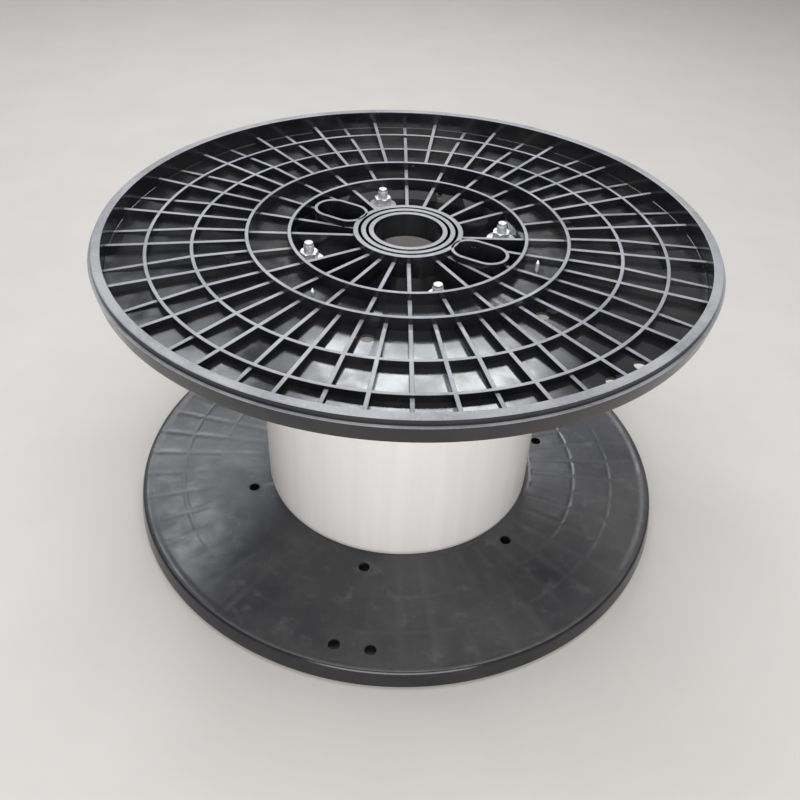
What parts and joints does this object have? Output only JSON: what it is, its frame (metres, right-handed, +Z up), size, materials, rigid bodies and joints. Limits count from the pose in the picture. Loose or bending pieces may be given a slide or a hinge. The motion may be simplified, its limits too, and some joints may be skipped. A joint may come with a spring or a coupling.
{
  "type": "plastic cable reel",
  "caption": "Bolted plastic reel for cable: two ribbed round flanges clamped to a smooth barrel by threaded rods, with a spindle bore.",
  "frame": {"origin": "centre of the face that the reel stands on, on its axis", "axes": "+Z up along the reel's axis; +X and +Y across the flanges"},
  "size_m": [0.71, 0.71, 0.396],
  "materials": {
    "black_moulding": "semi-gloss moulded polyolefin, scuffed and dusty",
    "white_tube": "smooth extruded tube",
    "rod_zinc": "zinc plated thread",
    "nut_zinc": "zinc plated",
    "washer_zinc": "bright zinc",
    "pin_steel": "bright"
  },
  "bodies": {
    "root": {"upper_flange": "black_moulding", "lower_flange": "black_moulding", "barrel": "white_tube", "tie_rod_1": "rod_zinc", "tie_rod_2": "rod_zinc", "tie_rod_3": "rod_zinc", "tie_rod_4": "rod_zinc", "upper_washer_1": "washer_zinc", "upper_washer_2": "washer_zinc", "upper_washer_3": "washer_zinc", "upper_washer_4": "washer_zinc", "upper_nut_1": "nut_zinc", "upper_nut_2": "nut_zinc", "upper_nut_3": "nut_zinc", "upper_nut_4": "nut_zinc", "lower_washer_1": "washer_zinc", "lower_washer_2": "washer_zinc", "lower_washer_3": "washer_zinc", "lower_washer_4": "washer_zinc", "lower_nut_1": "nut_zinc", "lower_nut_2": "nut_zinc", "lower_nut_3": "nut_zinc", "lower_nut_4": "nut_zinc", "pin_1": "pin_steel", "pin_2": "pin_steel"}
  },
  "joints": []
}
